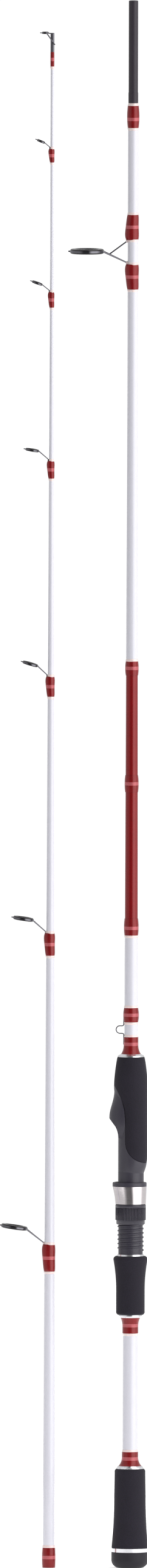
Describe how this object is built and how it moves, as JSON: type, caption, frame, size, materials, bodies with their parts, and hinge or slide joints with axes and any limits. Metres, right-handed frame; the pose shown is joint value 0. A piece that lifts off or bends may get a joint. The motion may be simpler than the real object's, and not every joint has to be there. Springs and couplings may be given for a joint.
{
  "type": "spinning rod",
  "caption": "Spinning rod taken apart at its ferrule: tapered white blanks, ceramic-ringed line guides on red whippings, split foam grips and a reel seat with a screw-driven hood.",
  "frame": {"origin": "centre of the butt cap's flat end face, on the butt section's axis", "axes": "+Z along the butt section from the butt to the tip; line guides and reel seat hoods point towards -X; the tip section stands beside it at x = -56.5 mm"},
  "size_m": [0.1045, 0.0258, 1.093],
  "materials": {
    "blank_lacquer": "pearl white lacquer over carbon, red in one zone, bare at the male ferrule",
    "whipping": "metallic red thread with a pink band under clear resin",
    "grip_foam": "fine-celled black foam, matte",
    "cap_rubber": "moulded, satin",
    "trim_metal": "turned and polished",
    "seat_plastic": "moulded, dark slate, satin",
    "arbor": "plain",
    "hood_steel": "polished stainless sheet",
    "ring_ceramic": "black, polished",
    "guide_wire": "polished wire and strip"
  },
  "bodies": {
    "butt_section": {"butt_blank": "blank_lacquer", "butt_cap": "cap_rubber", "butt_ring": "trim_metal", "rear_grip": "grip_foam", "rear_grip_check": "trim_metal", "rear_grip_wrap": "whipping", "lower_grip_wrap": "whipping", "lower_grip_check": "trim_metal", "lower_grip": "grip_foam", "seat_trim_ring": "trim_metal", "reel_seat_body": "seat_plastic", "seat_arbor_lower": "arbor", "seat_arbor_upper": "arbor", "fore_grip": "grip_foam", "fore_grip_check": "trim_metal", "fore_grip_wrap": "whipping", "hook_keeper": "guide_wire", "hook_keeper_wrap": "whipping", "trim_wrap_lower": "whipping", "trim_wrap_middle": "whipping", "trim_wrap_upper": "whipping", "stripper_wrap_lower": "whipping", "stripper_guide_frame": "guide_wire", "stripper_guide_ring": "ring_ceramic", "stripper_wrap_upper": "whipping", "ferrule_wrap": "whipping"},
    "movable_hood": {"hood_shell": "hood_steel", "hood_insert": "seat_plastic"},
    "lock_nut_body": {"lock_nut": "seat_plastic"},
    "tip_section": {"tip_blank": "blank_lacquer", "socket_wrap": "whipping", "guide_7_frame": "guide_wire", "guide_7_ring": "ring_ceramic", "guide_7_wrap": "whipping", "guide_6_frame": "guide_wire", "guide_6_ring": "ring_ceramic", "guide_6_wrap": "whipping", "guide_5_frame": "guide_wire", "guide_5_ring": "ring_ceramic", "guide_5_wrap": "whipping", "guide_4_frame": "guide_wire", "guide_4_ring": "ring_ceramic", "guide_4_wrap": "whipping", "guide_3_frame": "guide_wire", "guide_3_ring": "ring_ceramic", "guide_3_wrap": "whipping", "guide_2_frame": "guide_wire", "guide_2_ring": "ring_ceramic", "guide_2_wrap": "whipping", "tip_top_frame": "guide_wire", "tip_top_ring": "ring_ceramic", "tip_top_wrap": "whipping"}
  },
  "joints": [
    {"name": "hood_slide", "type": "slide", "parent": "butt_section", "child": "movable_hood", "axis": [0, 0, 1], "range_m": [-0.019, 0.005]},
    {"name": "nut_turn", "type": "hinge", "parent": "movable_hood", "child": "lock_nut_body", "pos_m": [0, 0, 0.2466], "axis": [0, 0, 1], "range_deg": [-2279, 599]},
    {"name": "tip_section_lift", "type": "slide", "parent": "butt_section", "child": "tip_section", "axis": [0, 0, 1], "range_m": [0, 1.1]}
  ],
  "couplings": [
    {"joint": "hood_slide", "follows": "nut_turn", "m_per_rad": 0.00047746}
  ]
}
